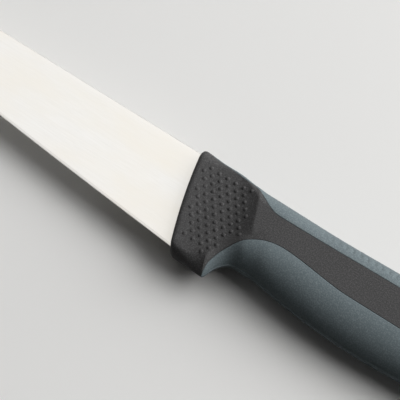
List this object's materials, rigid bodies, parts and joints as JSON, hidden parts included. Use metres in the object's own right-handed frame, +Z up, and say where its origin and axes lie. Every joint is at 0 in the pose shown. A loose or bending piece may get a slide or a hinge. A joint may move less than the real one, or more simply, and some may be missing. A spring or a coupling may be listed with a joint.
{
  "type": "meat knife",
  "caption": "Meat knife with a ground, tapering steel blade and a moulded handle: hard core with finger guard and nubbed thumb panels, soft grips on spine and belly.",
  "frame": {"origin": "middle of the knife's box on the surface it lies on", "axes": "+X along the knife from the tip to the butt, +Y from the edge to the spine, +Z up, across the flat sides"},
  "size_m": [0.2978, 0.0358, 0.018],
  "materials": {
    "steel": "satin, finely brushed along the blade",
    "core": "finely grained, matt",
    "grip": "finely grained, soft"
  },
  "bodies": {
    "root": {"blade": "steel", "handle_core": "core", "belly_grip": "grip", "spine_strip": "grip"}
  },
  "joints": []
}
